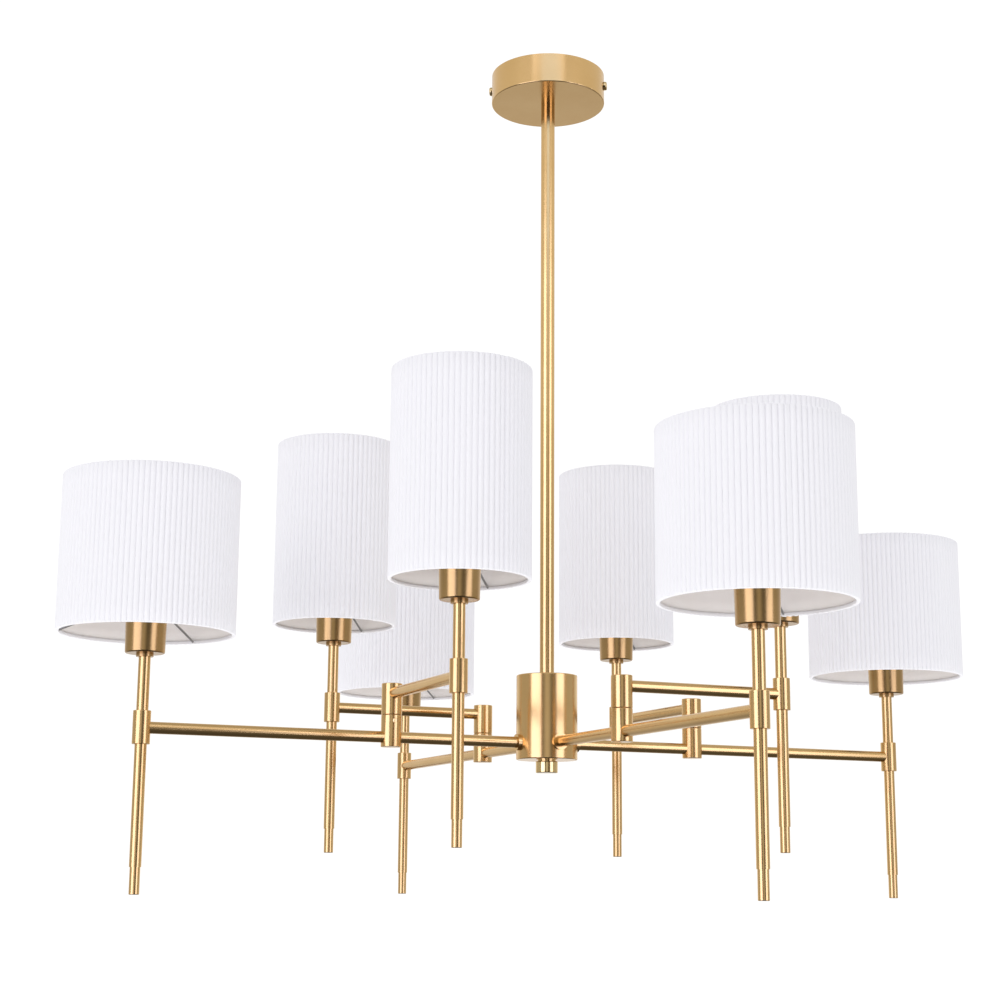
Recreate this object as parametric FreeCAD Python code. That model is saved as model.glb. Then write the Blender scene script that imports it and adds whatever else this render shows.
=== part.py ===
import FreeCAD, Part
import math
import os

# Ceiling chandelier: a canopy on a crossbar, a two-piece stem, a drum hub and four radial main arms.
# Each main arm carries a swivel part way out, and a side arm turns on it. Eight lamp posts stand at
# the arm ends: drum shades on the main arms, taller and narrower shades on the side arms.
# Units are millimetres. The origin is the middle of the crossbar's top face, against the ceiling,
# and everything hangs below it. Main arm 1 points along +X, arms 2, 3 and 4 follow anticlockwise.

# ---- overall sizes
DROP = 710.0                # ceiling to the axis of the main arms
ARM_REACH = 406.0           # hub axis to the lamp post of a main arm
SWIVEL_REACH = 164.5        # hub axis to the swivel's axis
SIDE_REACH = 171.0          # swivel axis to the lamp post of a side arm
ARM_COUNT = 4

# ---- fits
FIT = 0.05                  # radial clearance of a fixed or turning fit
SEAT = 0.05                 # gap between faces that seat on each other
SWIVEL_GAP = 0.3            # seam between the two barrels of a swivel
WIRE_HOLE_R = 2.5

# ---- crossbar and canopy
CANOPY_R = 60.0
CANOPY_H = 31.0
CANOPY_WALL = 1.2
CANOPY_EDGE = 0.8
CROSSBAR_T = 3.0
CROSSBAR_W = 22.0
CROSSBAR_ANGLE = -31.0      # degrees from +X
CROSSBAR_EAR = 20.0
CROSSBAR_GAP = 0.4          # ear corner to canopy wall
BOLT_PCD = 70.0
BOLT_HOLE_R = 2.5
KNOB_DROP = 13.0            # ceiling to the knobs' axis
KNOB_SHANK_R = 2.0
KNOB_HEAD_R = 4.6
KNOB_HEAD_H = 3.2
KNOB_SHANK_L = 9.0
KNOB_SLOT_W = 1.0
KNOB_SLOT_D = 0.9

# ---- stem and its threaded nipples
STEM_R = 7.25
SEAM_DROP = 279.0           # ceiling to the seam between the stem's two tubes
NIPPLE_R = 5.0
NIPPLE_WALL = 1.4
TOP_NIPPLE_L = 45.0
NIPPLE_TOP_GAP = 0.5
COUPLER_L = 40.0

# ---- hub
HUB_R = 30.5
HUB_ABOVE = 67.5            # arm axis to the hub's top
HUB_BELOW = 16.5            # arm axis to the hub's bottom
HUB_WALL = 2.0
HUB_TOP_T = 3.0
HUB_EDGE = 1.0
HUB_PLATE_T = 3.0
FINIAL_R = 11.0
FINIAL_H = 11.6
FINIAL_NECK_R = 9.0
FINIAL_NECK_H = 1.2
FINIAL_CAP_T = 3.4
FINIAL_EDGE = 1.0
HUB_NIPPLE_UP = 18.0        # length of the hub nipple inside the stem

# ---- arms
TUBE_R = 5.5                # arms and lamp posts
TUBE_WALL = 1.0
ARM_PAST_NUT = 3.2          # arm's inner end past its nut
FERRULE_WALL = 2.4
FERRULE_L = 3.0
NUT_WALL = 3.0              # tube to a flat of the nut
NUT_T = 3.5
SLEEVE_WALL = 2.7
SLEEVE_H = 30.5
SLEEVE_EDGE = 0.4

# ---- swivel
BARREL_R = 10.0
BARREL_H = 30.5             # height of each half
BARREL_END = 9.5            # arm axis to the outer end of its half
BARREL_EDGE = 0.6
SPIGOT_R = 6.5
SPIGOT_L = 12.0
SPIGOT_END_GAP = 1.0
GROOVE_D = 1.7              # depth of the stop groove
SET_SCREW_R = 2.0
SET_SCREW_BELOW = 5.5       # seam to the set screw's axis
SET_SCREW_SUNK = 0.4
SET_SCREW_SLOT_W = 0.7
DOG_R = 1.5
DOG_END_GAP = 0.3
SWING = 45.0                # degrees to each side
SWING_SPARE = 2.0

# ---- lamp post
STEP_BELOW = 124.7          # arm axis to the step in the lower rod
TIP_BELOW = 149.0           # arm axis to the rod's lower end
TIP_STEP = 0.75             # how much thinner the tip is, on the radius
TIP_EDGE = 0.6
CUP_ABOVE = 67.4            # arm axis to the cup's bottom face
CUP_BOSS_R = 8.0
CUP_BOSS_H = 3.0
CUP_CLEAR = 0.7             # holder to the cup's inside, at the floor
CUP_FLARE = 1.0             # growth of the cup's radius from floor to rim
CUP_H = 44.0
CUP_WALL = 1.4
CUP_FLOOR = 2.0
CUP_EDGE = 1.6
POST_END_ABOVE_FLOOR = 4.0

# ---- lampholder and shade fixing
HOLDER_WALL = 2.9
HOLDER_TOP_ABOVE_CUP = 10.5
SOCKET_R = 13.3
SOCKET_DEPTH = 26.0
HOLDER_FOOT_BORE = 6.0
SPIDER_T = 1.8
SPIDER_RIM_OVER = 2.2       # spider's ring past the cup's rim
SPIDER_WIRE_R = 1.1
SPIDER_WIRE_IN = 0.9        # wire's start inside the ring's edge
SPIDER_ANGLES = (43.0, 163.0, 283.0)
SHADE_RING_WALL = 3.75
SHADE_RING_H = 6.0
SHADE_RING_EDGE = 0.8

# ---- shades
SHADE_ABOVE = 85.5          # arm axis to a shade's lower edge
SHADE_WALL = 2.5
HEM_H = 4.0
HEM_T = 1.0
DRUM_R = 82.0
DRUM_H = 146.0
TALL_R = 64.5
TALL_H = 194.0

# ---- sizes that follow
Z_AXIS = FreeCAD.Vector(0, 0, 1)
ORIGIN = FreeCAD.Vector(0, 0, 0)
NIPPLE_BORE_R = NIPPLE_R - NIPPLE_WALL
STEM_BORE_R = NIPPLE_R + FIT
STEM_TOP = -CROSSBAR_T - SEAT
ARM_Z = -DROP
HUB_TOP = ARM_Z + HUB_ABOVE
HUB_BOTTOM = ARM_Z - HUB_BELOW
FINIAL_TOP = HUB_BOTTOM - SEAT
FINIAL_BOTTOM = FINIAL_TOP - FINIAL_NECK_H - FINIAL_H
TUBE_BORE_R = TUBE_R - TUBE_WALL
TUBE_HOLE_R = TUBE_R + FIT
SLEEVE_R = TUBE_R + SLEEVE_WALL
NUT_CORNER = (TUBE_R + NUT_WALL) * 2 / math.sqrt(3)
NUT_FACE = math.sqrt((HUB_R - HUB_WALL) ** 2 - NUT_CORNER ** 2) - SEAT
ARM_INNER = NUT_FACE - NUT_T - ARM_PAST_NUT     # hub axis to the arm's inner end
GROOVE_R = SPIGOT_R - GROOVE_D
TIP_R = TUBE_R - TIP_STEP
HOLDER_R = SOCKET_R + HOLDER_WALL
CUP_BOTTOM_R = HOLDER_R + CUP_CLEAR + CUP_WALL
CUP_TOP_R = CUP_BOTTOM_R + CUP_FLARE
SPIDER_RIM_R = CUP_TOP_R + SPIDER_RIM_OVER
BARREL_SEAM = BARREL_H - BARREL_END             # above the main arm's axis
SIDE_RISE = 2 * BARREL_H - 2 * BARREL_END       # main arm axis to side arm axis
CUP_TOP = CUP_ABOVE + CUP_H
SPIDER_Z = CUP_TOP + SEAT
RING_Z = SPIDER_Z + SPIDER_T + SEAT
HOLDER_TOP = CUP_TOP + HOLDER_TOP_ABOVE_CUP
POST_TOP = CUP_ABOVE + CUP_FLOOR + POST_END_ABOVE_FLOOR
POST_SHOULDER = CUP_ABOVE - CUP_BOSS_H - SEAT


def cylinder(radius, z_low, z_high):
    """Upright solid cylinder on the Z axis."""
    return Part.makeCylinder(radius, z_high - z_low, FreeCAD.Vector(0, 0, z_low))


def bar(radius, x_low, x_high, z=0.0):
    """Solid cylinder along X."""
    return Part.makeCylinder(radius, x_high - x_low, FreeCAD.Vector(x_low, 0, z), FreeCAD.Vector(1, 0, 0))


def tube(outer, inner, z_low, z_high):
    """Upright tube on the Z axis."""
    return cylinder(outer, z_low, z_high).cut(cylinder(inner, z_low - 1, z_high + 1))


def box(x_low, x_high, y_low, y_high, z_low, z_high):
    """Box between two corners."""
    corner = FreeCAD.Vector(x_low, y_low, z_low)
    return Part.makeBox(x_high - x_low, y_high - y_low, z_high - z_low, corner)


def turned(points):
    """Solid of revolution from a closed outline of (radius, z) points."""
    outline = [FreeCAD.Vector(r, 0, z) for r, z in points]
    outline.append(outline[0])
    return Part.Face(Part.makePolygon(outline)).revolve(ORIGIN, Z_AXIS, 360)


def round_rims(solid, radius, size, heights):
    """Rounds the circular edges of one radius at the given heights."""
    rims = []
    for edge in solid.Edges:
        curve = edge.Curve
        if not isinstance(curve, Part.Circle):
            continue
        if abs(curve.Radius - radius) > 1e-6:
            continue
        if any(abs(curve.Center.z - z) < 1e-6 for z in heights):
            rims.append(edge)
    return solid.makeFillet(size, rims)


def moved(shape, x=0.0, y=0.0, z=0.0, turn=0.0):
    """A copy moved by x, y, z and then turned about the Z axis by an angle in degrees."""
    copy = shape.copy()
    copy.translate(FreeCAD.Vector(x, y, z))
    copy.rotate(ORIGIN, Z_AXIS, turn)
    return copy


def export(shape, node):
    """Writes one node, and stops if it isn't made of valid closed solids."""
    if not shape.isValid() or not shape.Solids:
        raise ValueError(node + " is not a valid solid")
    shape.exportStep("parts/" + node + ".step")


# ---- ceiling fixing

def make_crossbar():
    """Flat bar with a tapped centre, two bolt holes and a tapped ear bent down at each end."""
    inner_r = CANOPY_R - CANOPY_WALL
    half = math.sqrt(inner_r ** 2 - (CROSSBAR_W / 2) ** 2) - CROSSBAR_GAP
    side = CROSSBAR_W / 2
    solid = box(-half, half, -side, side, -CROSSBAR_T, 0)
    for low, high in ((-half, -half + CROSSBAR_T), (half - CROSSBAR_T, half)):
        solid = solid.fuse(box(low, high, -side, side, -CROSSBAR_EAR, 0))
    solid = solid.removeSplitter()
    solid = solid.cut(cylinder(NIPPLE_R + FIT, -CROSSBAR_T - 1, 1))
    for x in (-BOLT_PCD / 2, BOLT_PCD / 2):
        solid = solid.cut(moved(cylinder(BOLT_HOLE_R, -CROSSBAR_T - 1, 1), x=x))
    solid = solid.cut(bar(KNOB_SHANK_R + FIT, -CANOPY_R, CANOPY_R, -KNOB_DROP))
    return moved(solid, turn=CROSSBAR_ANGLE)


def make_canopy():
    """Shallow round cup, open against the ceiling, with a stem hole and two knob holes."""
    solid = round_rims(cylinder(CANOPY_R, -CANOPY_H, 0), CANOPY_R, CANOPY_EDGE, (-CANOPY_H,))
    solid = solid.cut(cylinder(CANOPY_R - CANOPY_WALL, -CANOPY_H + CANOPY_WALL, 1))
    solid = solid.cut(cylinder(STEM_R + FIT, -CANOPY_H - 1, 0))
    holes = moved(bar(KNOB_SHANK_R + FIT, -CANOPY_R - 1, CANOPY_R + 1, -KNOB_DROP), turn=CROSSBAR_ANGLE)
    return solid.cut(holes)


def make_canopy_knobs():
    """Two slotted domed screws that hold the canopy to the crossbar's ears."""
    shank = cylinder(KNOB_SHANK_R, -KNOB_SHANK_L, 0)
    head = cylinder(KNOB_HEAD_R, SEAT, KNOB_HEAD_H)
    head = round_rims(head, KNOB_HEAD_R, KNOB_HEAD_H / 2, (KNOB_HEAD_H,))
    shank = shank.fuse(cylinder(KNOB_SHANK_R, 0, SEAT))
    slot_z = KNOB_HEAD_H - KNOB_SLOT_D
    slot = box(-KNOB_HEAD_R, KNOB_HEAD_R, -KNOB_SLOT_W / 2, KNOB_SLOT_W / 2, slot_z, KNOB_HEAD_H + 1)
    knob = shank.fuse(head).cut(slot)
    knob.rotate(ORIGIN, FreeCAD.Vector(0, 1, 0), 90)
    knobs = []
    for turn in (CROSSBAR_ANGLE, CROSSBAR_ANGLE + 180):
        knobs.append(moved(knob, x=CANOPY_R, z=-KNOB_DROP, turn=turn))
    return Part.makeCompound(knobs)


# ---- stem

def make_top_nipple():
    """Hollow threaded nipple that hangs the stem from the crossbar."""
    return tube(NIPPLE_R, NIPPLE_BORE_R, -NIPPLE_TOP_GAP - TOP_NIPPLE_L, -NIPPLE_TOP_GAP)


def make_stem_upper():
    """Tube from the crossbar to the seam."""
    return tube(STEM_R, STEM_BORE_R, -SEAM_DROP, STEM_TOP)


def make_stem_coupler():
    """Hollow nipple inside the seam of the stem."""
    return tube(NIPPLE_R, NIPPLE_BORE_R, -SEAM_DROP - COUPLER_L / 2, -SEAM_DROP + COUPLER_L / 2)


def make_stem_lower():
    """Tube from the seam to the hub."""
    return tube(STEM_R, STEM_BORE_R, HUB_TOP + SEAT, -SEAM_DROP - SEAT)


# ---- hub

def make_hub_body():
    """Drum, open below, with a hole for the nipple and one for each main arm."""
    solid = round_rims(cylinder(HUB_R, HUB_BOTTOM, HUB_TOP), HUB_R, HUB_EDGE, (HUB_BOTTOM, HUB_TOP))
    solid = solid.cut(cylinder(HUB_R - HUB_WALL, HUB_BOTTOM - 1, HUB_TOP - HUB_TOP_T))
    solid = solid.cut(cylinder(NIPPLE_R + FIT, HUB_TOP - HUB_TOP_T - 1, HUB_TOP + 1))
    for index in range(ARM_COUNT):
        solid = solid.cut(moved(bar(TUBE_HOLE_R, 0, HUB_R + 1, ARM_Z), turn=arm_turn(index)))
    return solid


def make_hub_plate():
    """Disc that closes the hub's underside."""
    return tube(HUB_R - HUB_WALL - FIT, NIPPLE_R + FIT, HUB_BOTTOM, HUB_BOTTOM + HUB_PLATE_T)


def make_hub_nipple():
    """Hollow nipple from the stem through the hub to the finial, with a cross hole for the wires."""
    low = FINIAL_BOTTOM + FINIAL_CAP_T + SEAT
    solid = tube(NIPPLE_R, NIPPLE_BORE_R, low, HUB_TOP + HUB_NIPPLE_UP)
    middle = (HUB_TOP + ARM_Z) / 2
    return solid.cut(bar(WIRE_HOLE_R, -NIPPLE_R - 1, NIPPLE_R + 1, middle))


def make_finial():
    """Round cap nut under the hub, with a narrower neck and a blind bore."""
    neck_bottom = FINIAL_TOP - FINIAL_NECK_H
    cap = cylinder(FINIAL_R, FINIAL_BOTTOM, neck_bottom)
    cap = round_rims(cap, FINIAL_R, FINIAL_EDGE, (FINIAL_BOTTOM, neck_bottom))
    solid = cap.fuse(cylinder(FINIAL_NECK_R, neck_bottom, FINIAL_TOP))
    return solid.cut(cylinder(NIPPLE_R + FIT, FINIAL_BOTTOM + FINIAL_CAP_T, FINIAL_TOP + 1))


# ---- arms

def arm_turn(index):
    """Direction of a main arm, in degrees from +X."""
    return 360.0 * index / ARM_COUNT


def arm_with_sleeve(start, reach):
    """Tube along X from its start to its reach, with an upright sleeve for a lamp post at its end."""
    sleeve = cylinder(SLEEVE_R, -SLEEVE_H / 2, SLEEVE_H / 2)
    sleeve = round_rims(sleeve, SLEEVE_R, SLEEVE_EDGE, (-SLEEVE_H / 2, SLEEVE_H / 2))
    solid = bar(TUBE_R, start, reach).fuse(moved(sleeve, x=reach))
    solid = solid.cut(moved(cylinder(TUBE_HOLE_R, -SLEEVE_H, SLEEVE_H), x=reach))
    return solid.cut(bar(TUBE_BORE_R, start - 1, reach))


def make_main_arm(index):
    """Main arm, with a wire hole up into its swivel."""
    solid = arm_with_sleeve(ARM_INNER, ARM_REACH)
    solid = solid.cut(moved(cylinder(WIRE_HOLE_R, 0, TUBE_R + 1), x=SWIVEL_REACH))
    return moved(solid, z=ARM_Z, turn=arm_turn(index))


def make_side_arm(index):
    """Side arm, which points a quarter turn on from its main arm."""
    solid = arm_with_sleeve(-TUBE_BORE_R, SIDE_REACH)
    solid.rotate(ORIGIN, Z_AXIS, 90)
    return moved(solid, x=SWIVEL_REACH, z=ARM_Z + SIDE_RISE, turn=arm_turn(index))


def make_arm_ferrules():
    """Rings around the arms, shaped to the hub's side."""
    length = HUB_R + FERRULE_L
    ring = bar(TUBE_HOLE_R + FERRULE_WALL, 0, length).cut(bar(TUBE_HOLE_R, -1, length + 1))
    ring = ring.cut(cylinder(HUB_R + SEAT, -HUB_R, HUB_R))
    return Part.makeCompound([moved(ring, z=ARM_Z, turn=arm_turn(i)) for i in range(ARM_COUNT)])


def make_arm_nuts():
    """Hexagon nuts that hold the arms inside the hub."""
    points = []
    for step in range(7):
        angle = math.radians(60 * step)
        points.append(FreeCAD.Vector(NUT_FACE, NUT_CORNER * math.cos(angle), NUT_CORNER * math.sin(angle)))
    nut = Part.Face(Part.makePolygon(points)).extrude(FreeCAD.Vector(-NUT_T, 0, 0))
    nut = nut.cut(bar(TUBE_HOLE_R, 0, HUB_R))
    return Part.makeCompound([moved(nut, z=ARM_Z, turn=arm_turn(i)) for i in range(ARM_COUNT)])


# ---- swivels, built about their own axis with the main arm's axis at z = 0

def make_swivel_bases():
    """Lower barrels, fixed on the main arms, each bored for a spigot and tapped for a set screw."""
    low = -BARREL_END
    solid = round_rims(cylinder(BARREL_R, low, BARREL_SEAM), BARREL_R, BARREL_EDGE, (low, BARREL_SEAM))
    bore_floor = BARREL_SEAM - SPIGOT_L - SPIGOT_END_GAP
    solid = solid.cut(cylinder(SPIGOT_R + FIT, bore_floor, BARREL_SEAM + 1))
    solid = solid.cut(cylinder(WIRE_HOLE_R, 0, bore_floor + 1))
    solid = solid.cut(bar(TUBE_HOLE_R, -BARREL_R - 1, BARREL_R + 1))
    screw_hole = bar(SET_SCREW_R + FIT, 0, BARREL_R + 1, BARREL_SEAM - SET_SCREW_BELOW)
    solid = solid.cut(moved(screw_hole, turn=90))
    bases = []
    for index in range(ARM_COUNT):
        bases.append(moved(solid, x=SWIVEL_REACH, z=ARM_Z, turn=arm_turn(index)))
    return Part.makeCompound(bases)


def make_swivel_set_screws():
    """Slotted dog-point screws, whose points run in the spigots' stop grooves."""
    outer = BARREL_R - SET_SCREW_SUNK
    inner = SPIGOT_R + 2 * FIT
    solid = bar(SET_SCREW_R, inner, outer).fuse(bar(DOG_R, GROOVE_R + DOG_END_GAP, inner + FIT))
    half_slot = SET_SCREW_SLOT_W / 2
    slot = box(outer - DOG_R, outer + 1, -half_slot, half_slot, -SET_SCREW_R - 1, SET_SCREW_R + 1)
    solid = solid.cut(slot)
    screws = []
    for index in range(ARM_COUNT):
        screw = moved(solid, z=BARREL_SEAM - SET_SCREW_BELOW, turn=90)
        screws.append(moved(screw, x=SWIVEL_REACH, z=ARM_Z, turn=arm_turn(index)))
    return Part.makeCompound(screws)


def stop_groove():
    """Part-ring cut from the spigot, as long as the swing and the screw's point together."""
    centre = BARREL_SEAM - SET_SCREW_BELOW
    half_height = DOG_R + DOG_END_GAP
    half_angle = SWING + SWING_SPARE + math.degrees(math.asin(DOG_R / GROOVE_R))
    low = FreeCAD.Vector(0, 0, centre - half_height)
    ring = Part.makeCylinder(SPIGOT_R + 1, 2 * half_height, low, Z_AXIS, 2 * half_angle)
    ring = ring.cut(cylinder(GROOVE_R, centre - half_height - 1, centre + half_height + 1))
    return moved(ring, turn=90 - half_angle)


def make_swivel_head(index):
    """Upper barrel with its spigot below, its wire bore and the blind hole for the side arm."""
    low = BARREL_SEAM + SWIVEL_GAP
    high = 2 * BARREL_H - BARREL_END
    solid = round_rims(cylinder(BARREL_R, low, high), BARREL_R, BARREL_EDGE, (low, high))
    solid = solid.fuse(cylinder(SPIGOT_R, BARREL_SEAM - SPIGOT_L, low))
    solid = solid.cut(stop_groove())
    solid = solid.cut(cylinder(WIRE_HOLE_R, BARREL_SEAM - SPIGOT_L - 1, SIDE_RISE))
    solid = solid.cut(moved(bar(TUBE_HOLE_R, -TUBE_BORE_R - SEAT, BARREL_R + 1, SIDE_RISE), turn=90))
    return moved(solid, x=SWIVEL_REACH, z=ARM_Z, turn=arm_turn(index))


# ---- lamp posts, built on the Z axis with the arm's axis at z = 0

def post(arm_direction):
    """Rod through the sleeve, with a thinner tip below and a threaded end above."""
    tip = round_rims(cylinder(TIP_R, -TIP_BELOW, -STEP_BELOW), TIP_R, TIP_EDGE, (-TIP_BELOW,))
    solid = tip.fuse(cylinder(TUBE_R, -STEP_BELOW, POST_SHOULDER))
    solid = solid.fuse(cylinder(NIPPLE_R, POST_SHOULDER, POST_TOP))
    solid = solid.cut(cylinder(NIPPLE_BORE_R, -NIPPLE_BORE_R, POST_TOP + 1))
    return solid.cut(moved(bar(WIRE_HOLE_R, 0, TUBE_R + 1), turn=arm_direction + 180))


def cup():
    """Turned cup that widens a little upwards, with a boss below and a hole for the post."""
    outside = [(0, CUP_ABOVE), (CUP_BOTTOM_R, CUP_ABOVE), (CUP_TOP_R, CUP_TOP), (0, CUP_TOP)]
    solid = round_rims(turned(outside), CUP_BOTTOM_R, CUP_EDGE, (CUP_ABOVE,))
    floor = CUP_ABOVE + CUP_FLOOR
    over = CUP_TOP + SEAT
    inside = [(0, floor), (CUP_BOTTOM_R - CUP_WALL, floor), (CUP_TOP_R - CUP_WALL, over), (0, over)]
    solid = solid.cut(turned(inside))
    solid = solid.fuse(cylinder(CUP_BOSS_R, CUP_ABOVE - CUP_BOSS_H, CUP_ABOVE))
    return solid.cut(cylinder(NIPPLE_R + FIT, CUP_ABOVE - CUP_BOSS_H - 1, floor + 1))


def lampholder():
    """Moulded holder with an open socket above and a seat for the post's end below."""
    foot = CUP_ABOVE + CUP_FLOOR + SEAT
    solid = cylinder(HOLDER_R, foot, HOLDER_TOP)
    solid = solid.cut(cylinder(SOCKET_R, HOLDER_TOP - SOCKET_DEPTH, HOLDER_TOP + 1))
    return solid.cut(cylinder(NIPPLE_R + FIT, foot - 1, foot + HOLDER_FOOT_BORE))


def spider(shade_r):
    """Flat ring on the cup's rim and three wires sloping down to the shade's lower hem."""
    ring = tube(SPIDER_RIM_R, HOLDER_R + FIT, SPIDER_Z, SPIDER_Z + SPIDER_T)
    hem_r = shade_r - SHADE_WALL - HEM_T
    start = FreeCAD.Vector(SPIDER_RIM_R - SPIDER_WIRE_IN, 0, SPIDER_Z + SPIDER_T / 2)
    end = FreeCAD.Vector(hem_r + SPIDER_WIRE_R, 0, SHADE_ABOVE + HEM_H / 2)
    slope = end - start
    wire = Part.makeCylinder(SPIDER_WIRE_R, slope.Length, start, slope)
    solid = ring
    for angle in SPIDER_ANGLES:
        solid = solid.fuse(moved(wire, turn=angle))
    return solid.common(cylinder(hem_r - SEAT, 0, SPIDER_Z + SPIDER_T))


def shade_ring():
    """Threaded ring that clamps the spider on the lampholder."""
    high = RING_Z + SHADE_RING_H
    inner = HOLDER_R + FIT
    outer = inner + SHADE_RING_WALL
    solid = round_rims(cylinder(outer, RING_Z, high), outer, SHADE_RING_EDGE, (RING_Z, high))
    return solid.cut(cylinder(inner, RING_Z - 1, high + 1))


def shade(radius, height):
    """Straight shade, open at both ends, thicker at its two hems."""
    low = SHADE_ABOVE
    high = low + height
    inner = radius - SHADE_WALL
    hem = inner - HEM_T
    points = [(hem, low), (radius, low), (radius, high), (hem, high), (hem, high - HEM_H)]
    points += [(inner, high - HEM_H - HEM_T), (inner, low + HEM_H + HEM_T), (hem, low + HEM_H)]
    return turned(points)


def at_main_lamp(shape, index):
    """Moves a lamp piece to the end of a main arm, without turning the piece itself."""
    angle = math.radians(arm_turn(index))
    return moved(shape, x=ARM_REACH * math.cos(angle), y=ARM_REACH * math.sin(angle), z=ARM_Z)


def at_side_lamp(shape, index):
    """Moves a lamp piece to the end of a side arm, without turning the piece itself."""
    angle = math.radians(arm_turn(index))
    x = SWIVEL_REACH * math.cos(angle) - SIDE_REACH * math.sin(angle)
    y = SWIVEL_REACH * math.sin(angle) + SIDE_REACH * math.cos(angle)
    return moved(shape, x=x, y=y, z=ARM_Z + SIDE_RISE)


def make_main_lamps():
    """The pieces of the four lamps on the main arms, one node for each kind of piece."""
    kinds = {"main_cups": cup(), "main_lampholders": lampholder(), "main_spiders": spider(DRUM_R)}
    kinds["main_shade_rings"] = shade_ring()
    nodes = {}
    for node, piece in kinds.items():
        nodes[node] = Part.makeCompound([at_main_lamp(piece, i) for i in range(ARM_COUNT)])
    posts = [at_main_lamp(post(arm_turn(i)), i) for i in range(ARM_COUNT)]
    nodes["main_posts"] = Part.makeCompound(posts)
    return nodes


def make_side_lamp(index):
    """The pieces of one lamp on a side arm."""
    number = "_" + str(index + 1)
    nodes = {"side_post" + number: post(arm_turn(index) + 90), "side_cup" + number: cup()}
    nodes["side_lampholder" + number] = lampholder()
    nodes["side_shade_ring" + number] = shade_ring()
    nodes["side_spider" + number] = spider(TALL_R)
    nodes["tall_shade" + number] = shade(TALL_R, TALL_H)
    return {node: at_side_lamp(piece, index) for node, piece in nodes.items()}


def main():
    os.makedirs("parts", exist_ok=True)
    export(make_crossbar(), "crossbar")
    export(make_canopy(), "canopy")
    export(make_canopy_knobs(), "canopy_knobs")
    export(make_top_nipple(), "top_nipple")
    export(make_stem_upper(), "stem_upper")
    export(make_stem_coupler(), "stem_coupler")
    export(make_stem_lower(), "stem_lower")
    export(make_hub_body(), "hub_body")
    export(make_hub_plate(), "hub_plate")
    export(make_hub_nipple(), "hub_nipple")
    export(make_finial(), "finial")
    export(make_arm_ferrules(), "arm_ferrules")
    export(make_arm_nuts(), "arm_nuts")
    export(make_swivel_bases(), "swivel_bases")
    export(make_swivel_set_screws(), "swivel_set_screws")
    for node, piece in make_main_lamps().items():
        export(piece, node)
    for index in range(ARM_COUNT):
        number = "_" + str(index + 1)
        export(make_main_arm(index), "main_arm" + number)
        export(make_swivel_head(index), "swivel_head" + number)
        export(make_side_arm(index), "side_arm" + number)
        export(at_main_lamp(shade(DRUM_R, DRUM_H), index), "drum_shade" + number)
        for node, piece in make_side_lamp(index).items():
            export(piece, node)


main()
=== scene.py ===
import math

import bpy
import numpy as np
from mathutils import Matrix, Vector


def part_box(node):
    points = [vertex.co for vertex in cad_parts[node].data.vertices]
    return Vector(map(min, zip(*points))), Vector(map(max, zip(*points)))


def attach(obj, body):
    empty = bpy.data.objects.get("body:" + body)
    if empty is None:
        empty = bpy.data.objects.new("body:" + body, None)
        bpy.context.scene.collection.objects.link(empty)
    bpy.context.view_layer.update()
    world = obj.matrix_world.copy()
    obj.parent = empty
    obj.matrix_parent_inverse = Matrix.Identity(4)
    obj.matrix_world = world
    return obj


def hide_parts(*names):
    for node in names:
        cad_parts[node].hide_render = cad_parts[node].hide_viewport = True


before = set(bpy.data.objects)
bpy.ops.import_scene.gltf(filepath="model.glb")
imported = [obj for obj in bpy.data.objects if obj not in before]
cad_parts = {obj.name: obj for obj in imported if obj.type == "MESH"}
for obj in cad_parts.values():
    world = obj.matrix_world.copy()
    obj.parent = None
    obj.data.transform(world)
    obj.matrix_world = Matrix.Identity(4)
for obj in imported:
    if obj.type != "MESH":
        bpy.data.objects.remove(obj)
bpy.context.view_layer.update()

# Looks for a ceiling chandelier. Metres, in the part's own frame: the ceiling is z = 0, the stem
# hangs down the Z axis, main arm 1 points along +X and arms 2, 3 and 4 follow anticlockwise.

ARMS = (1, 2, 3, 4)
TURN = 2.0 * math.pi

# ---- camera
CAMERA_PLACE = (-0.7755, -1.6844, -0.8483)
CAMERA_HEADING = 23.23      # degrees from +Y towards +X
CAMERA_TILT = 11.741        # degrees above the horizon
CAMERA_ROLL = 0.408
CAMERA_LENS = 66.70         # for a 36 mm sensor

# ---- studio: brightness by how far a direction faces from the camera, and by its height
ROOM_BY_FACING = (
    (-0.995, 0.66), (-0.965, 0.15), (-0.93, 0.06), (-0.5, 0.48), (0.5, 0.55), (0.88, 1.0))
ROOM_BY_HEIGHT = (
    (-1.0, 0.13), (-0.6, 0.25), (-0.3, 0.78), (0.0, 1.0), (0.5, 0.75), (1.0, 0.45))
UPPER_WALL_BY_HEIGHT = ((0.18, 0.0), (0.26, 0.95), (0.6, 0.7), (1.0, 0.4))
UPPER_WALL = 0.82
WHITE_AROUND = 0.92         # what lights the cloth from every side
WHITE_SEEN = 1.05           # what the camera sees round the object
COOL = (0.66, 0.69, 1.0)
BLUE = (0.21, 0.43, 1.0)
LIGHTS_MIDDLE = Vector((0.0, 0.0, -0.55))
FLOOR_HALF = 90.0
FLOOR_HEIGHT = -4.2

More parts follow.
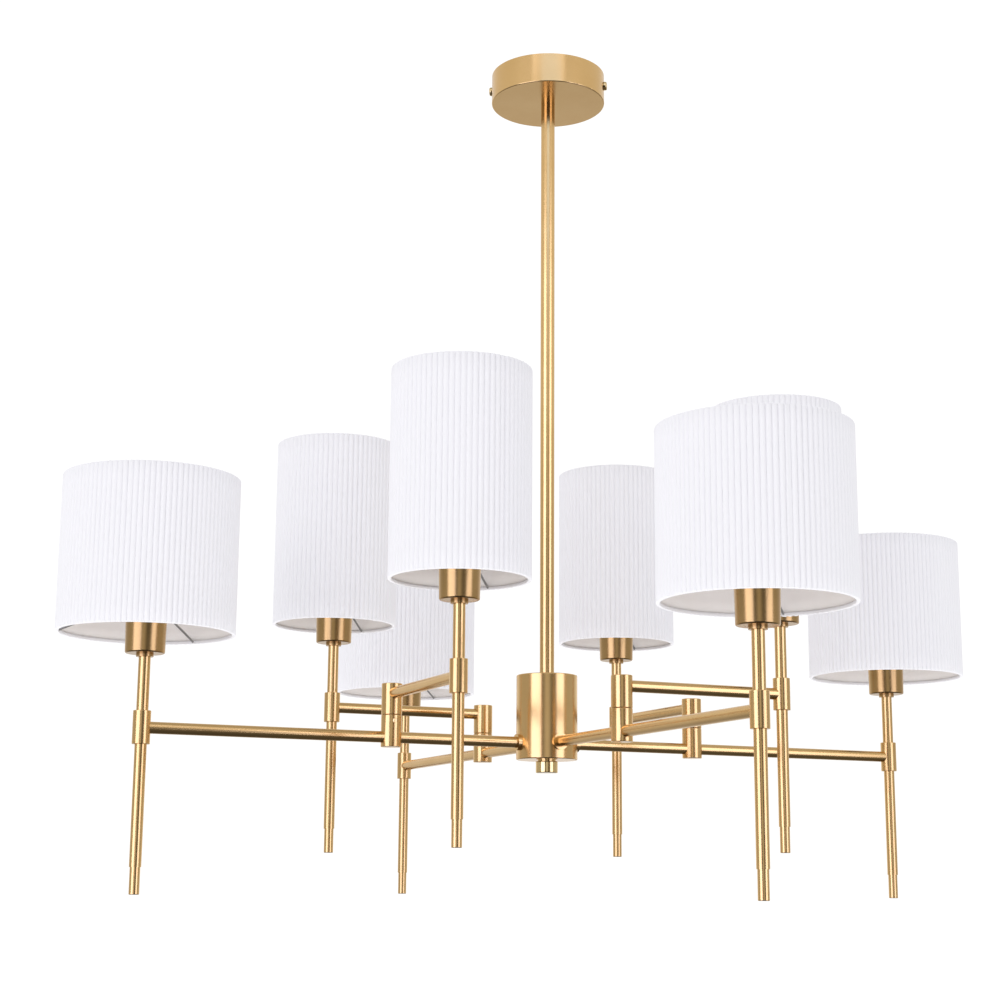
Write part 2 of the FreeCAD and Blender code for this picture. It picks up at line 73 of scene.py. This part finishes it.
# ---- pleated shades
PLEATS = {"drum": 102, "tall": 75}
PLEAT_DEPTH = 0.0019
PLEAT_POWER = 0.64          # below 1 gives broad ribs and narrow creases
PLEAT_COLUMNS = 14          # columns of the grid in one pleat
DEEPEST_PLEAT = 1.25        # the deepest crease, as a share of the usual depth
PLEAT_WANDER = 0.07         # how far pleats stray sideways, in radians of their own period
PLEAT_LEAN = 0.04           # how far they stray along their height, in the same measure
PLEAT_UNEVEN = 0.035        # spread of the pleats' own fullness round 1
SEAM_DEEPER = 0.4           # how much deeper the crease at the seam is
SEAM_WIDTH = 0.3            # its half width, in pleats
WALL_ROWS = 12
CLOTH_THICKNESS = 0.00025
HEM_TURN = 0.0007           # half height of the fold over a ring wire
HEM_RISE = 0.0009           # how far a crease pulls the hem up between two ribs
HEM_DEPTH = 0.0032          # how far the cloth runs up inside the shade
HEM_INSET = 0.00355         # outside of the shade to the inside of its hem
LINING_INSET = 0.0029
LINING_THICKNESS = 0.0004
LINING_COLUMNS = 240
SHADE_SEAMS = {"drum_1": 200, "drum_2": 96, "drum_3": 40, "drum_4": 258}
SHADE_SEAMS.update({"tall_1": 120, "tall_2": 10, "tall_3": 285, "tall_4": 170})

# ---- socket shells
SHELL_R = 0.0128
SHELL_WAVE = 0.00035
SHELL_PITCH = 0.0036
SHELL_DEPTH = 0.0245
SHELL_BELOW_RIM = 0.0006    # lampholder's rim to the shell's top
SHELL_LEAD_IN = 0.002       # height over which the thread grows to its full depth
SHELL_COLUMNS = 72
SHELL_ROWS = 72
SHELL_THICKNESS = 0.0002

# ---- where the brush lines turn from along an arm to round its sleeve, from the stem's axis
MAIN_SLEEVE = 0.3978
SIDE_SLEEVE = 0.1628


# ---- shapes

def ease(low, high, x):
    """Smooth step from 0 at low to 1 at high, for whole arrays."""
    t = np.clip((x - low) / (high - low), 0.0, 1.0)
    return t * t * (3.0 - 2.0 * t)


def path_length(r, z):
    """Length along a section, from its first point to each of its points."""
    steps = np.hypot(np.diff(r), np.diff(z))
    return np.concatenate([[0.0], np.cumsum(steps)])


def round_piece(name, points, around, along, body):
    """Mesh of a grid of points that closes on itself: rows run along a section, columns once round.

    around and along are the columns' and rows' distances in metres. They make the piece's own
    map, so that a weave on the map has its true size.
    """
    rows, columns = points.shape[:2]
    index = np.arange(rows * columns).reshape(rows, columns)
    after = np.roll(index, -1, axis=1)
    quads = np.stack([index[:-1], after[:-1], after[1:], index[1:]], axis=-1).reshape(-1, 4)
    mesh = bpy.data.meshes.new(name)
    mesh.vertices.add(rows * columns)
    mesh.vertices.foreach_set("co", points.astype(np.float32).ravel())
    mesh.loops.add(quads.size)
    mesh.loops.foreach_set("vertex_index", quads.astype(np.int32).ravel())
    mesh.polygons.add(len(quads))
    mesh.polygons.foreach_set("loop_start", np.arange(0, quads.size, 4, dtype=np.int32))
    mesh.polygons.foreach_set("use_smooth", np.ones(len(quads), bool))
    corners = np.empty((rows - 1, columns, 4, 2), np.float32)
    corners[..., 0] = np.stack([around[:-1], around[1:], around[1:], around[:-1]], axis=-1)[None]
    corners[..., 1] = np.stack([along[:-1], along[:-1], along[1:], along[1:]], axis=-1)[:, None]
    mesh.uv_layers.new(name="cloth").data.foreach_set("uv", corners.ravel())
    mesh.update(calc_edges=True)
    piece = bpy.data.objects.new(name, mesh)
    bpy.context.scene.collection.objects.link(piece)
    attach(piece, body)
    return piece


def revolved(name, centre, r, z, columns, body):
    """A section of radii and heights carried round an upright axis through centre."""
    angle = np.arange(columns) * (TURN / columns)
    points = np.empty((r.size, columns, 3))
    points[..., 0] = centre[0] + r[:, None] * np.cos(angle)
    points[..., 1] = centre[1] + r[:, None] * np.sin(angle)
    points[..., 2] = z[:, None]
    around = np.arange(columns + 1) * (TURN / columns) * r.max()
    return round_piece(name, points, around, path_length(r, z), body)


def thicken(piece, amount):
    """Gives an open wall its thickness, behind the surface that was drawn."""
    wall = piece.modifiers.new("thickness", "SOLIDIFY")
    wall.thickness = amount
    wall.offset = -1.0
    wall.use_even_offset = False


def cover_section(radius, low, high):
    """Section of a shade's cloth, from inside the lower hem, round under it, up and over the top.

    Returns radii, heights and the pleats' strength. A fold is half an ellipse over a ring wire.
    The pleats keep their depth to its lowest point and are pressed flat where the cloth runs
    back up.
    """
    inner = radius - HEM_INSET
    middle = (radius + inner) / 2.0
    half = (radius - inner) / 2.0
    fold = np.linspace(0.0, math.pi, 7)
    wall = np.linspace(low + HEM_TURN, high - HEM_TURN, WALL_ROWS)[1:-1]
    hem = np.array([HEM_DEPTH, 0.6 * HEM_DEPTH])
    under = low + HEM_TURN * (1.0 - np.sin(fold))
    over = high - HEM_TURN * (1.0 - np.sin(fold))
    edge = [inner + 0.8 * CLOTH_THICKNESS, inner]
    r = np.concatenate([edge, middle - half * np.cos(fold), np.full(wall.size, radius),
                        middle + half * np.cos(fold), edge[::-1]])
    z = np.concatenate([low + hem, under, wall, over, high - hem[::-1]])
    return r, z, ease(inner, middle, r)


def pleat_depth(angle, height, count, random, seam):
    """How far the cloth lies inside the ribs' tops, from 0 on a rib to 1 in a crease.

    The form is 1 - |cos(phase / 2)| ** power. The phase is the angle times the number of pleats,
    plus slow sine waves round the shade and a slight lean along its height. Each pleat has its
    own fullness, and the one at the seam, where the strip's ends overlap, has a deeper crease.
    """
    wander = np.zeros_like(angle)
    for order in (3, 7, 16, 31):
        wave = np.sin(order * angle + random.uniform(0.0, TURN))
        wander += wave * PLEAT_WANDER / math.sqrt(order)
    lean = np.sin(TURN * height * random.uniform(0.4, 0.9) + random.uniform(0.0, TURN))
    sway = np.sin(5 * angle + random.uniform(0.0, TURN))
    stray = PLEAT_LEAN * lean[:, None] * sway[None, :]
    phase = count * angle[None, :] + wander[None, :] + stray
    depth = 1.0 - np.abs(np.cos(phase / 2.0)) ** PLEAT_POWER
    own = random.normal(1.0, PLEAT_UNEVEN, count).clip(0.85, 1.15)
    fullness = np.repeat(own, PLEAT_COLUMNS)
    across = np.abs((angle - seam + math.pi) % TURN - math.pi) * count / TURN
    at_seam = SEAM_DEEPER * np.exp(-(across / SEAM_WIDTH) ** 2)
    return np.minimum(depth * fullness[None, :] + at_seam[None, :], DEEPEST_PLEAT)


def make_cover(kind, number, centre, radius, low, high, body):
    """Pleated cloth of one shade: its section carried round, each point pulled in by its pleat.

    Near the lower edge a crease also pulls the cloth up a little, which scallops the hem.
    """
    count = PLEATS[kind]
    columns = count * PLEAT_COLUMNS
    random = np.random.default_rng(10 * count + number)
    r, z, strength = cover_section(radius, low, high)
    angle = np.arange(columns) * (TURN / columns)
    seam = math.radians(SHADE_SEAMS[kind + "_" + str(number)])
    depth = pleat_depth(angle, (z - low) / (high - low), count, random, seam)
    at = r[:, None] - PLEAT_DEPTH * strength[:, None] * depth
    near_edge = 1.0 - ease(low, low + 4.0 * HEM_RISE, z)
    pulled = HEM_RISE * near_edge * ease(radius - HEM_INSET, radius, r)
    points = np.empty((r.size, columns, 3))
    points[..., 0] = centre[0] + at * np.cos(angle)
    points[..., 1] = centre[1] + at * np.sin(angle)
    points[..., 2] = z[:, None] + pulled[:, None] * depth
    around = np.arange(columns + 1) * (TURN / columns) * radius
    piece = round_piece(kind + "_pleats_" + str(number), points, around, path_length(r, z), body)
    thicken(piece, CLOTH_THICKNESS)
    return piece


def make_lining(kind, number, centre, radius, low, high, body):
    """Smooth stiff lining inside the cloth: a straight line carried round, from the top down.

    Drawn downwards, its faces look in, so its thickness is added on the cloth's side.
    """
    z = np.linspace(high - HEM_TURN, low + HEM_TURN, WALL_ROWS)
    r = np.full(z.size, radius - LINING_INSET)
    piece = revolved(kind + "_lining_" + str(number), centre, r, z, LINING_COLUMNS, body)
    thicken(piece, LINING_THICKNESS)
    return piece


def make_shell(number, kind, centre, top, body):
    """Screw shell in a lampholder, with a floor that closes in rings.

    The radius is a mean plus a cosine of the height in pitches less the angle in turns, so that
    the wave climbs one pitch a turn.
    """
    name = kind + "_socket_shell_" + str(number)
    angle = np.arange(SHELL_COLUMNS) * (TURN / SHELL_COLUMNS)
    rim = top - SHELL_BELOW_RIM
    z = np.linspace(rim, top - SHELL_DEPTH, SHELL_ROWS)
    wave = np.cos(TURN * z[:, None] / SHELL_PITCH - angle[None, :]) * SHELL_WAVE
    r = SHELL_R - SHELL_WAVE + wave * ease(0.0, SHELL_LEAD_IN, rim - z)[:, None]
    floor = np.array([0.008, 0.004, 0.0002])
    r = np.concatenate([r, np.repeat(floor[:, None], SHELL_COLUMNS, axis=1)])
    z = np.concatenate([z, np.full(floor.size, z[-1])])
    points = np.empty((z.size, SHELL_COLUMNS, 3))
    points[..., 0] = centre[0] + r * np.cos(angle)
    points[..., 1] = centre[1] + r * np.sin(angle)
    points[..., 2] = z[:, None]
    around = np.arange(SHELL_COLUMNS + 1) * (TURN / SHELL_COLUMNS) * SHELL_R
    piece = round_piece(name, points, around, path_length(r[:, 0], z), body)
    thicken(piece, SHELL_THICKNESS)
    return piece


# ---- finishes

# A finish's noise is stretched by these: brush lines round a bar along X, along Y, or upright.
LINES_ROUND_X = (2600.0, 25.0, 25.0)
LINES_ROUND_Y = (25.0, 2600.0, 25.0)
RINGS = (25.0, 25.0, 2600.0)
EVEN = (1.0, 1.0, 1.0)
BRUSH_DEPTH = 0.000001
BRASS = ((0.76, 0.485, 0.195), (0.80, 0.525, 0.225))
# Darker copy of the brass colours for the cups under the shades: painted shade.
SHADED_BRASS = ((0.50, 0.31, 0.12), (0.55, 0.345, 0.14))


class Finish:
    """A material under construction: its shader and a short way to add and join nodes."""

    def __init__(self, name, **shader):
        self.material = bpy.data.materials.new(name)
        self.material.use_nodes = True
        self.tree = self.material.node_tree
        self.shader = self.tree.nodes["Principled BSDF"]
        for socket, value in shader.items():
            self.shader.inputs[socket.replace("_", " ")].default_value = value

    def add(self, kind, **settings):
        """A new node. Settings are its own, and a dict called inputs sets or joins its sockets."""
        node = self.tree.nodes.new("ShaderNode" + kind)
        for socket, value in settings.pop("inputs", {}).items():
            if isinstance(value, bpy.types.NodeSocket):
                self.tree.links.new(value, node.inputs[socket])
            else:
                node.inputs[socket].default_value = value
        for key, value in settings.items():
            setattr(node, key, value)
        return node

    def join(self, output, socket):
        """Feeds one of the shader's sockets."""
        self.tree.links.new(output, self.shader.inputs[socket])

    def place(self, scale, source="Object"):
        """Coordinates of the piece stretched by scale, for patterns longer one way than another."""
        where = self.add("TexCoord").outputs[source]
        return self.add("Mapping", inputs={"Vector": where, "Scale": scale}).outputs["Vector"]

    def noise(self, where, scale, detail=2.0, roughness=0.5):
        """Cloudy pattern with about scale lumps to each unit of its coordinates."""
        node = self.add("TexNoise", inputs={"Vector": where, "Scale": scale, "Detail": detail,
                                            "Roughness": roughness})
        return node.outputs["Fac"]

    def ranged(self, value, low, high, start=0.3, end=0.7):
        """Maps a pattern from start..end to low..high."""
        node = self.add("MapRange", inputs={"Value": value, "From Min": start, "From Max": end,
                                            "To Min": low, "To Max": high})
        return node.outputs["Result"]

    def blend(self, factor, first, second):
        """Colour between two colours."""
        node = self.add("Mix", data_type="RGBA")
        self.tree.links.new(factor, node.inputs[0])
        node.inputs[6].default_value = (*first, 1.0)
        node.inputs[7].default_value = (*second, 1.0)
        return node.outputs[2]

    def tone(self, pattern, first, second):
        """Sets the base colour, between two colours by a pattern."""
        self.join(self.blend(self.ranged(pattern, 0.0, 1.0), first, second), "Base Color")

    def relief(self, height, depth, under=None):
        """Bump of a given depth in metres, on top of another if there is one."""
        node = self.add("Bump", inputs={"Height": height, "Distance": depth, "Strength": 1.0})
        if under is not None:
            self.tree.links.new(under, node.inputs["Normal"])
        return node.outputs["Normal"]


def brushed_brass(name, lines, sleeve=None, tones=BRASS, roughness=(0.196, 0.212)):
    """Satin brass with fine brush lines, stacked up along the axis that lines stretches most.

    sleeve is (axis, distance): past that distance from the stem the lines run round an upright
    sleeve instead.
    """
    finish = Finish(name, Metallic=1.0)
    grain = finish.noise(finish.place(lines), 1.0, 1.0)
    if sleeve is not None:
        upright = finish.noise(finish.place(RINGS), 1.0, 1.0)
        where = finish.add("TexCoord").outputs["Object"]
        axes = finish.add("SeparateXYZ", inputs={"Vector": where})
        axis, distance = sleeve
        far = finish.add("Math", operation="ABSOLUTE", inputs={0: axes.outputs[axis]})
        past = finish.add("Math", operation="GREATER_THAN", inputs={0: far.outputs[0], 1: distance})
        mixed = finish.add("Mix", data_type="FLOAT",
                           inputs={0: past.outputs[0], 2: grain, 3: upright})
        grain = mixed.outputs[0]
    cloud = finish.noise(finish.place(EVEN), 24.0, 3.0, 0.6)
    finish.tone(cloud, *tones)
    finish.join(finish.ranged(grain, *roughness), "Roughness")
    finish.join(finish.relief(grain, BRUSH_DEPTH), "Normal")
    return finish.material


def polished_brass():
    """Bright turned brass with faint rings and a few handling marks."""
    finish = Finish("polished_brass", Metallic=1.0)
    rings = finish.noise(finish.place((30.0, 30.0, 1800.0)), 1.0, 2.0)
    marks = finish.noise(finish.place(EVEN), 140.0, 4.0, 0.7)
    finish.tone(marks, (0.80, 0.57, 0.25), (0.86, 0.64, 0.31))
    finish.join(finish.ranged(marks, 0.07, 0.15), "Roughness")
    finish.join(finish.relief(rings, 0.000006), "Normal")
    return finish.material


def zinc_plate():
    """Zinc plated steel: pale grey with a soft spangle and rolled lines."""
    finish = Finish("zinc_plate", Metallic=1.0)
    spangle = finish.noise(finish.place(EVEN), 220.0, 3.0, 0.6)
    finish.tone(spangle, (0.50, 0.51, 0.52), (0.62, 0.62, 0.60))
    finish.join(finish.ranged(spangle, 0.30, 0.45), "Roughness")
    rolled = finish.noise(finish.place((60.0, 900.0, 60.0)), 1.0)
    finish.join(finish.relief(rolled, 0.00002), "Normal")
    return finish.material


def grey_wire():
    """Grey lacquered spring wire with tiny pits."""
    finish = Finish("grey_wire", Metallic=0.6, Specular_IOR_Level=0.5)
    pits = finish.noise(finish.place(EVEN), 700.0, 2.0)
    finish.tone(pits, (0.36, 0.345, 0.34), (0.44, 0.425, 0.42))
    finish.join(finish.ranged(pits, 0.32, 0.46), "Roughness")
    finish.join(finish.relief(pits, 0.00003), "Normal")
    return finish.material


def moulded_plastic():
    """Ivory moulded plastic: satin skin with a fine orange peel and a thread's rings."""
    finish = Finish("ivory_plastic", Specular_IOR_Level=0.45)
    skin = finish.noise(finish.place(EVEN), 900.0, 2.0)
    cloud = finish.noise(finish.place(EVEN), 60.0, 2.0)
    thread = finish.add("TexWave", wave_type="BANDS", bands_direction="Z", wave_profile="SIN",
                        inputs={"Vector": finish.place(EVEN), "Scale": 80.0})
    finish.tone(cloud, (0.74, 0.71, 0.63), (0.79, 0.765, 0.69))
    finish.join(finish.ranged(skin, 0.38, 0.50), "Roughness")
    turns = finish.relief(thread.outputs["Fac"], 0.0002)
    finish.join(finish.relief(skin, 0.00003, turns), "Normal")
    return finish.material


def nickel_shell():
    """Rolled nickel of a socket's screw shell."""
    finish = Finish("nickel_shell", Metallic=1.0)
    roll = finish.noise(finish.place(EVEN), 500.0, 3.0)
    finish.tone(roll, (0.60, 0.56, 0.48), (0.68, 0.645, 0.57))
    finish.join(finish.ranged(roll, 0.22, 0.36), "Roughness")
    finish.join(finish.relief(roll, 0.00002), "Normal")
    return finish.material


def pleated_cloth():
    """White woven cloth on its own map: warp and weft threads, slubs, and a soft sheen."""
    finish = Finish("pleated_cloth", Sheen_Weight=0.25, Sheen_Roughness=0.5,
                    Specular_IOR_Level=0.2)
    where = finish.place(EVEN, "UV")
    warp = finish.add("TexWave", wave_type="BANDS", bands_direction="X",
                      inputs={"Vector": where, "Scale": 430.0, "Distortion": 0.6, "Detail": 1.0})
    weft = finish.add("TexWave", wave_type="BANDS", bands_direction="Y",
                      inputs={"Vector": where, "Scale": 430.0, "Distortion": 0.6, "Detail": 1.0})
    weave = finish.add("Math", operation="MULTIPLY",
                       inputs={0: warp.outputs["Fac"], 1: weft.outputs["Fac"]})
    slub = finish.noise(finish.place((2500.0, 120.0, 1.0), "UV"), 1.0, 3.0, 0.6)
    finish.tone(slub, (0.886, 0.880, 0.919), (0.904, 0.898, 0.936))
    finish.join(finish.ranged(slub, 0.82, 0.95), "Roughness")
    finish.join(finish.relief(slub, 0.000004, finish.relief(weave.outputs[0], 0.000008)), "Normal")
    return finish.material


def shade_lining():
    """Warm white plastic film with a faint haze."""
    finish = Finish("shade_lining", Specular_IOR_Level=0.3)
    haze = finish.noise(finish.place(EVEN), 35.0, 3.0, 0.6)
    skin = finish.noise(finish.place(EVEN), 600.0, 2.0)
    finish.tone(haze, (0.885, 0.845, 0.83), (0.915, 0.88, 0.87))
    finish.join(finish.ranged(skin, 0.55, 0.70), "Roughness")
    finish.join(finish.relief(skin, 0.00003), "Normal")
    return finish.material


def floor_paint():
    """Pale floor with a barely visible mottle, and a glow that makes it as white as the world."""
    finish = Finish("floor_paint", Roughness=0.9, Specular_IOR_Level=0.1, Emission_Strength=0.3,
                    Emission_Color=(1.0, 1.0, 1.0, 1.0))
    mottle = finish.noise(finish.place(EVEN), 1.5, 3.0)
    finish.tone(mottle, (0.90, 0.90, 0.90), (0.92, 0.92, 0.915))
    return finish.material


def paint(names, material):
    """Puts one material on every slot of the named CAD nodes."""
    for name in names:
        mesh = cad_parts[name].data
        mesh.materials.clear()
        mesh.materials.append(material)


def dress(piece, material):
    """Gives a new piece its material."""
    piece.data.materials.append(material)


# ---- stage

def towards_camera(angle):
    """Level direction from the object to the camera, turned by degrees to the camera's right."""
    heading = math.radians(CAMERA_HEADING)
    back = Vector((-math.sin(heading), -math.cos(heading), 0.0))
    right = Vector((math.cos(heading), -math.sin(heading), 0.0))
    turn = math.radians(angle)
    return back * math.cos(turn) + right * math.sin(turn)


def make_camera():
    """Camera turned to its heading, tilted up, then rolled about the way it looks."""
    heading = math.radians(CAMERA_HEADING)
    tilt = math.radians(CAMERA_TILT)
    roll = math.radians(CAMERA_ROLL)
    level = Vector((math.sin(heading), math.cos(heading), 0.0))
    ahead = level * math.cos(tilt) + Vector((0.0, 0.0, math.sin(tilt)))
    right = Vector((math.cos(heading), -math.sin(heading), 0.0))
    up = right.cross(ahead)
    turned_right = right * math.cos(roll) + up * math.sin(roll)
    turned_up = up * math.cos(roll) - right * math.sin(roll)
    camera = bpy.data.objects.new("camera", bpy.data.cameras.new("camera"))
    axes = Matrix((turned_right, turned_up, -ahead)).transposed().to_4x4()
    camera.matrix_world = Matrix.Translation(CAMERA_PLACE) @ axes
    camera.data.lens = CAMERA_LENS
    camera.data.sensor_width = 36.0
    camera.data.clip_start = 0.05
    camera.data.clip_end = 200.0
    bpy.context.scene.collection.objects.link(camera)
    bpy.context.scene.camera = camera


def softbox(name, place, aim, size, power, colour=(1.0, 1.0, 1.0), use="cloth"):
    """Rectangular light at place, aimed at a point.

    A mirrored one shows in the metal and lights nothing else. A cloth one does the opposite.
    """
    light = bpy.data.lights.new(name, "AREA")
    light.shape = "RECTANGLE"
    light.size, light.size_y = size
    light.energy = power
    light.color = colour
    lamp = bpy.data.objects.new(name, light)
    lamp.location = place
    lamp.rotation_euler = (Vector(aim) - Vector(place)).to_track_quat("-Z", "Y").to_euler()
    lamp.visible_camera = False
    lamp.visible_glossy = use == "mirrored"
    lamp.visible_diffuse = use == "cloth"
    bpy.context.scene.collection.objects.link(lamp)


def reflected_room(tree):
    """What the metal mirrors: dark beside the camera, mid grey at the sides, bright far behind.

    One ramp follows the way a direction faces, from the camera's side to the far side, and a
    second one, by height, darkens it towards the floor and the ceiling. A third lays an even upper
    wall over both.
    """
    direction = tree.nodes.new("ShaderNodeTexCoord").outputs["Generated"]
    facing = tree.nodes.new("ShaderNodeVectorMath")
    facing.operation = "DOT_PRODUCT"
    tree.links.new(direction, facing.inputs[0])
    facing.inputs[1].default_value = -towards_camera(0)
    height = tree.nodes.new("ShaderNodeSeparateXYZ")
    tree.links.new(direction, height.inputs[0])
    depth_ramp = value_ramp(tree, facing.outputs["Value"], ROOM_BY_FACING)
    height_ramp = value_ramp(tree, height.outputs["Z"], ROOM_BY_HEIGHT)
    both = tree.nodes.new("ShaderNodeMix")
    both.data_type = "RGBA"
    both.blend_type = "MULTIPLY"
    both.inputs[0].default_value = 1.0
    tree.links.new(depth_ramp, both.inputs[6])
    tree.links.new(height_ramp, both.inputs[7])
    wall = tree.nodes.new("ShaderNodeMix")
    wall.data_type = "RGBA"
    wall_ramp = value_ramp(tree, height.outputs["Z"], UPPER_WALL_BY_HEIGHT)
    tree.links.new(wall_ramp, wall.inputs[0])
    tree.links.new(both.outputs[2], wall.inputs[6])
    wall.inputs[7].default_value = (UPPER_WALL, UPPER_WALL, UPPER_WALL, 1.0)
    return wall.outputs[2]


def value_ramp(tree, value, stops):
    """Grey ramp over a value from -1 to 1. Stops are (value, brightness)."""
    shifted = tree.nodes.new("ShaderNodeMapRange")
    shifted.inputs["From Min"].default_value = -1.0
    tree.links.new(value, shifted.inputs["Value"])
    ramp = tree.nodes.new("ShaderNodeValToRGB")
    while len(ramp.color_ramp.elements) < len(stops):
        ramp.color_ramp.elements.new(0.5)
    for element, (at, brightness) in zip(ramp.color_ramp.elements, stops):
        element.position = (at + 1.0) / 2.0
        element.color = (brightness, brightness, brightness, 1.0)
    tree.links.new(shifted.outputs["Result"], ramp.inputs["Fac"])
    return ramp.outputs["Color"]


def make_world():
    """White round the object, a little brighter to the camera. Mirrors see the room instead."""
    world = bpy.data.worlds.new("studio")
    bpy.context.scene.world = world
    world.use_nodes = True
    tree = world.node_tree
    room = tree.nodes["Background"]
    tree.links.new(reflected_room(tree), room.inputs["Color"])
    room.inputs["Strength"].default_value = 1.0
    ray = tree.nodes.new("ShaderNodeLightPath")
    brightness = tree.nodes.new("ShaderNodeMapRange")
    brightness.inputs["To Min"].default_value = WHITE_AROUND
    brightness.inputs["To Max"].default_value = WHITE_SEEN
    tree.links.new(ray.outputs["Is Camera Ray"], brightness.inputs["Value"])
    white = tree.nodes.new("ShaderNodeBackground")
    tree.links.new(brightness.outputs["Result"], white.inputs["Strength"])
    white.inputs["Color"].default_value = (1.0, 1.0, 1.0, 1.0)
    either = tree.nodes.new("ShaderNodeMixShader")
    tree.links.new(ray.outputs["Is Glossy Ray"], either.inputs[0])
    tree.links.new(white.outputs[0], either.inputs[1])
    tree.links.new(room.outputs[0], either.inputs[2])
    tree.links.new(either.outputs[0], tree.nodes["World Output"].inputs["Surface"])


def make_floor():
    """Square floor far below the object, seen by the camera only."""
    floor = bpy.data.objects.new("floor", bpy.data.meshes.new("floor"))
    corners = [(x * FLOOR_HALF, y * FLOOR_HALF, FLOOR_HEIGHT)
               for x, y in ((-1, -1), (1, -1), (1, 1), (-1, 1))]
    floor.data.from_pydata(corners, [], [(0, 1, 2, 3)])
    floor.data.materials.append(floor_paint())
    floor.visible_glossy = False
    floor.visible_diffuse = False
    bpy.context.scene.collection.objects.link(floor)


def mirrored_boxes():
    """Tall boxes left and right, one for the canopy and one high up, which show in the metal."""
    middle = LIGHTS_MIDDLE
    raised = middle + Vector((0.0, 0.0, 0.1))
    softbox("left_box", raised + towards_camera(-42) * 2.4, middle, (1.7, 2.2), 33,
            COOL, "mirrored")
    softbox("right_box", raised + towards_camera(50) * 2.4, middle, (1.3, 2.2), 21,
            COOL, "mirrored")
    softbox("canopy_box", towards_camera(5) * 2.2 + Vector((0.0, 0.0, 0.78)), (0, 0, 0),
            (1.6, 0.45), 2.4, BLUE, "mirrored")
    softbox("high_box", towards_camera(0) * 1.9 + Vector((0.0, 0.0, 1.35)), (0, 0, -0.3),
            (2.6, 0.7), 7, COOL, "mirrored")


def cloth_lights():
    """A soft key from the left and a wide light from below, which the metal doesn't mirror."""
    middle = LIGHTS_MIDDLE
    key = middle + towards_camera(-40) * 3.0 + Vector((0.0, 0.0, 0.5))
    below = middle + towards_camera(10) * 0.6 - Vector((0.0, 0.0, 2.6))
    softbox("cloth_key", key, middle, (2.6, 2.6), 11)
    softbox("cloth_below", below, middle, (3.0, 3.0), 28)


# ---- building

def lamp_sites():
    """(kind, number, body, centre, radius, low, high) of the eight lamps, from the CAD shades."""
    for number in ARMS:
        for kind, node in (("drum", "drum_shade_"), ("tall", "tall_shade_")):
            low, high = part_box(node + str(number))
            body = "frame" if kind == "drum" else "side_arm_" + str(number)
            centre = (low + high) / 2.0
            yield kind, number, body, centre, (high.x - low.x) / 2.0, low.z, high.z


def make_lamps():
    """Cloth, lining and socket shell of each lamp.

    The metal doesn't mirror the cloth or the linings, so its bands stay clean.
    """
    cloth = pleated_cloth()
    lining = shade_lining()
    nickel = nickel_shell()
    tops = {"drum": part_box("main_lampholders")[1].z, "tall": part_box("side_lampholder_1")[1].z}
    for kind, number, body, centre, radius, low, high in lamp_sites():
        inside = make_lining(kind, number, centre, radius, low, high, body)
        cover = make_cover(kind, number, centre, radius, low, high, body)
        shell = make_shell(number, kind, centre, tops[kind], body)
        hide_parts(kind + "_shade_" + str(number))
        dress(cover, cloth)
        dress(inside, lining)
        cover.visible_glossy = False
        inside.visible_glossy = False
        dress(shell, nickel)


def numbered(*names):
    """The four numbered nodes of each name."""
    return [name + str(number) for name in names for number in ARMS]


def finish_cad():
    """Materials of the CAD nodes that stay visible."""
    turned = brushed_brass("brass_turned", RINGS)
    paint(["canopy", "stem_upper", "stem_lower", "hub_body", "hub_plate"], turned)
    paint(["swivel_bases", "main_posts", "arm_ferrules"], turned)
    paint(numbered("swivel_head_", "side_post_"), turned)
    # The cups' darker brass colours are painted shade; their rougher finish is real.
    shaded_cup_brass = brushed_brass("brass_cups_painted_shade", RINGS, tones=SHADED_BRASS, roughness=(0.235, 0.255))
    paint(["main_cups"] + numbered("side_cup_"), shaded_cup_brass)
    main_x = brushed_brass("brass_arm_x", LINES_ROUND_X, (0, MAIN_SLEEVE))
    main_y = brushed_brass("brass_arm_y", LINES_ROUND_Y, (1, MAIN_SLEEVE))
    paint(["main_arm_1", "main_arm_3"], main_x)
    paint(["main_arm_2", "main_arm_4"], main_y)
    side_y = brushed_brass("brass_side_y", LINES_ROUND_Y, (1, SIDE_SLEEVE))
    side_x = brushed_brass("brass_side_x", LINES_ROUND_X, (0, SIDE_SLEEVE))
    paint(["side_arm_1", "side_arm_3"], side_y)
    paint(["side_arm_2", "side_arm_4"], side_x)
    paint(["finial", "canopy_knobs", "swivel_set_screws"], polished_brass())
    paint(["crossbar", "top_nipple", "stem_coupler", "hub_nipple", "arm_nuts"], zinc_plate())
    paint(["main_spiders"] + numbered("side_spider_"), grey_wire())
    plastic = moulded_plastic()
    paint(["main_lampholders", "main_shade_rings"], plastic)
    paint(numbered("side_lampholder_", "side_shade_ring_"), plastic)


make_camera()
make_lamps()
finish_cad()
make_floor()
make_world()
mirrored_boxes()
cloth_lights()
bpy.context.scene.view_settings.view_transform = "Standard"
